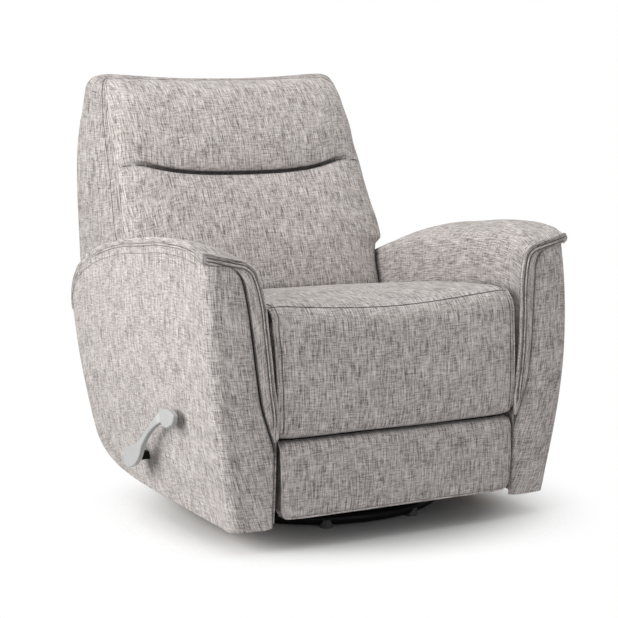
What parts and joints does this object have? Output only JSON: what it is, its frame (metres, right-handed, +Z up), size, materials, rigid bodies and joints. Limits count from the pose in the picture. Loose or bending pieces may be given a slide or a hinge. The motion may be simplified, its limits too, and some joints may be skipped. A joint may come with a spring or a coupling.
{
  "type": "swivel glider recliner chair",
  "caption": "Upholstered swivel glider recliner: padded flared arms, reclining back with headrest, chaise leg rest on a side lever, round swivel floor ring.",
  "frame": {"origin": "on the floor, under the middle of the box round the chair", "axes": "+Z up, -Y the way a sitter faces, -X the arm with the release lever"},
  "size_m": [0.9272, 0.9657, 1.016],
  "materials": {
    "upholstery_fabric": "matte",
    "plywood": "matte",
    "zinc_steel": "satin",
    "black_steel": "satin",
    "lever_plastic": "satin",
    "webbing": "matte",
    "glide_plastic": "matte"
  },
  "bodies": {
    "base": {"floor_ring": "black_steel", "base_spokes": "black_steel", "lower_bearing_plate": "zinc_steel", "bearing_balls": "zinc_steel", "king_bolt": "zinc_steel", "floor_glides": "glide_plastic"},
    "turntable": {"upper_bearing_plate": "zinc_steel", "turntable_cross_members": "black_steel", "glide_bracket_left": "black_steel", "glide_bracket_right": "black_steel"},
    "front_links": {"front_glide_links": "black_steel", "front_glide_pins": "zinc_steel"},
    "rear_links": {"rear_glide_links": "black_steel", "rear_glide_pins": "zinc_steel"},
    "chair_frame": {"carriage_rail_left": "black_steel", "carriage_rail_right": "black_steel", "front_cross_tube": "black_steel", "rear_cross_tube": "black_steel", "side_rail_left": "plywood", "side_rail_right": "plywood", "frame_plate_left": "black_steel", "frame_plate_right": "black_steel", "arm_frame_left": "plywood", "arm_frame_right": "plywood", "arm_outer_cover_left": "upholstery_fabric", "arm_outer_cover_right": "upholstery_fabric", "arm_top_cover_left": "upholstery_fabric", "arm_top_cover_right": "upholstery_fabric", "rear_apron": "upholstery_fabric"},
    "seat": {"seat_side_plate_left": "black_steel", "seat_side_plate_right": "black_steel", "seat_rail_left": "plywood", "seat_rail_right": "plywood", "seat_front_rail": "plywood", "seat_rear_rail": "plywood", "seat_springs": "black_steel", "seat_cushion": "upholstery_fabric", "seat_pivot_pins": "zinc_steel"},
    "back": {"back_bracket_left": "black_steel", "back_bracket_right": "black_steel", "back_frame": "plywood", "back_webbing": "webbing", "lumbar_cushion": "upholstery_fabric", "headrest_cushion": "upholstery_fabric", "outer_back": "upholstery_fabric"},
    "leg_rest": {"chaise_pad": "upholstery_fabric", "chaise_board": "plywood", "footrest_pad": "upholstery_fabric", "footrest_board": "plywood", "leg_brackets": "black_steel", "leg_rest_pins": "zinc_steel"},
    "bell_cranks": {"bell_cranks": "black_steel", "bell_crank_pins": "zinc_steel"},
    "couplers": {"coupler_links": "black_steel"},
    "lever": {"torque_tube": "black_steel", "drive_cranks": "black_steel", "drive_crank_pins": "zinc_steel", "lever_shaft": "black_steel", "lever_handle": "lever_plastic"},
    "drive_rods": {"drive_rods": "black_steel"}
  },
  "joints": [
    {"name": "swivel", "type": "hinge", "parent": "base", "child": "turntable", "pos_m": [0, -0.07, 0.03], "axis": [0, 0, 1], "continuous": true},
    {"name": "glide", "type": "hinge", "parent": "turntable", "child": "front_links", "pos_m": [0, -0.2, 0.2], "axis": [-1, 0, 0], "range_deg": [-24, 24]},
    {"name": "rear_link_swing", "type": "hinge", "parent": "turntable", "child": "rear_links", "pos_m": [0, 0.06, 0.2], "axis": [-1, 0, 0], "range_deg": [-24, 24]},
    {"name": "carriage_level", "type": "hinge", "parent": "front_links", "child": "chair_frame", "pos_m": [0, -0.2, 0.075], "axis": [-1, 0, 0], "range_deg": [-24, 24]},
    {"name": "seat_tilt", "type": "hinge", "parent": "chair_frame", "child": "seat", "pos_m": [0, -0.045, 0.143], "axis": [-1, 0, 0], "range_deg": [0, 5]},
    {"name": "back_recline", "type": "hinge", "parent": "seat", "child": "back", "pos_m": [0, 0.25, 0.44], "axis": [-1, 0, 0], "range_deg": [0, 35]},
    {"name": "leg_rest_open", "type": "hinge", "parent": "seat", "child": "leg_rest", "pos_m": [0, -0.43, 0.478], "axis": [-1, 0, 0], "range_deg": [0, 87]},
    {"name": "bell_crank_turn", "type": "hinge", "parent": "seat", "child": "bell_cranks", "pos_m": [0, -0.385, 0.4], "axis": [-1, 0, 0], "range_deg": [0, 87]},
    {"name": "coupler_turn", "type": "hinge", "parent": "bell_cranks", "child": "couplers", "pos_m": [0, -0.354, 0.247], "axis": [-1, 0, 0], "range_deg": [-87, 0]},
    {"name": "lever_pull", "type": "hinge", "parent": "seat", "child": "lever", "pos_m": [0, -0.045, 0.143], "axis": [-1, 0, 0], "range_deg": [0, 87]},
    {"name": "drive_rod_turn", "type": "hinge", "parent": "lever", "child": "drive_rods", "pos_m": [0, -0.03, 0.085], "axis": [-1, 0, 0], "range_deg": [-87, 0]}
  ],
  "couplings": [
    {"joint": "rear_link_swing", "follows": "glide", "ratio": 1},
    {"joint": "carriage_level", "follows": "glide", "ratio": -1},
    {"joint": "seat_tilt", "follows": "back_recline", "ratio": 0.14286},
    {"joint": "bell_crank_turn", "follows": "leg_rest_open", "ratio": 1},
    {"joint": "coupler_turn", "follows": "leg_rest_open", "ratio": -1},
    {"joint": "lever_pull", "follows": "leg_rest_open", "ratio": 1},
    {"joint": "drive_rod_turn", "follows": "leg_rest_open", "ratio": -1}
  ]
}
